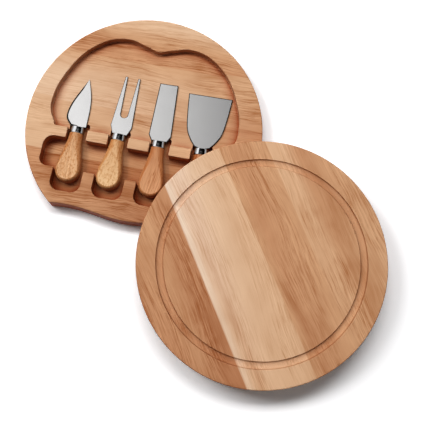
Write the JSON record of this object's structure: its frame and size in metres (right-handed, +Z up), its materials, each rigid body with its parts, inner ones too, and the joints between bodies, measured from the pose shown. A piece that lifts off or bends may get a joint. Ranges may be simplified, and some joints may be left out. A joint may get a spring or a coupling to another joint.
{
  "type": "serving board set",
  "caption": "Round two-level wooden serving board: a grooved top swivels off a recessed base that stores a pointed knife, a fork, a flat knife and a spatula.",
  "frame": {"origin": "middle of the base board's circle, on its underside", "axes": "+Z up, +X along the base's grain, +Y the way the blades point"},
  "size_m": [0.4112, 0.3838, 0.0356],
  "materials": {
    "base_wood": "oiled, fine grained",
    "top_wood": "oiled, glued from staves of different tone",
    "pale_handle_wood": "satin varnish",
    "red_handle_wood": "satin varnish",
    "dowel_wood": "raw",
    "blade_steel": "satin",
    "ferrule_chrome": "mirror",
    "zinc_steel": "zinc plated",
    "insert_brass": "turned",
    "washer_nylon": "plain"
  },
  "bodies": {
    "base": {"base_board": "base_wood", "head_washer": "zinc_steel"},
    "top": {"top_board": "top_wood", "support_foot": "base_wood", "dowel_left": "dowel_wood", "dowel_right": "dowel_wood", "pivot_screw": "zinc_steel", "glide_washer": "washer_nylon", "threaded_insert": "insert_brass"},
    "pointed_knife": {"pointed_knife_blade": "blade_steel", "pointed_knife_ferrule": "ferrule_chrome", "pointed_knife_handle": "pale_handle_wood"},
    "fork": {"fork_blade": "blade_steel", "fork_ferrule": "ferrule_chrome", "fork_handle": "pale_handle_wood"},
    "flat_knife": {"flat_knife_blade": "blade_steel", "flat_knife_ferrule": "ferrule_chrome", "flat_knife_handle": "red_handle_wood"},
    "spatula": {"spatula_blade": "blade_steel", "spatula_ferrule": "ferrule_chrome", "spatula_handle": "red_handle_wood"}
  },
  "joints": [
    {"name": "top_swivel", "type": "hinge", "parent": "base", "child": "top", "pos_m": [0.1096, -0.02051, 0], "axis": [0, 0, 1], "range_deg": [-122.6, 57.4]},
    {"name": "pointed_knife_lift", "type": "slide", "parent": "base", "child": "pointed_knife", "axis": [0, 0, 1], "range_m": [0, 0.06]},
    {"name": "fork_lift", "type": "slide", "parent": "base", "child": "fork", "axis": [0, 0, 1], "range_m": [0, 0.06]},
    {"name": "flat_knife_lift", "type": "slide", "parent": "base", "child": "flat_knife", "axis": [0, 0, 1], "range_m": [0, 0.06]},
    {"name": "spatula_shift", "type": "slide", "parent": "base", "child": "spatula", "axis": [-0.0175, 0.9998, 0], "range_m": [-0.007, 0]}
  ]
}
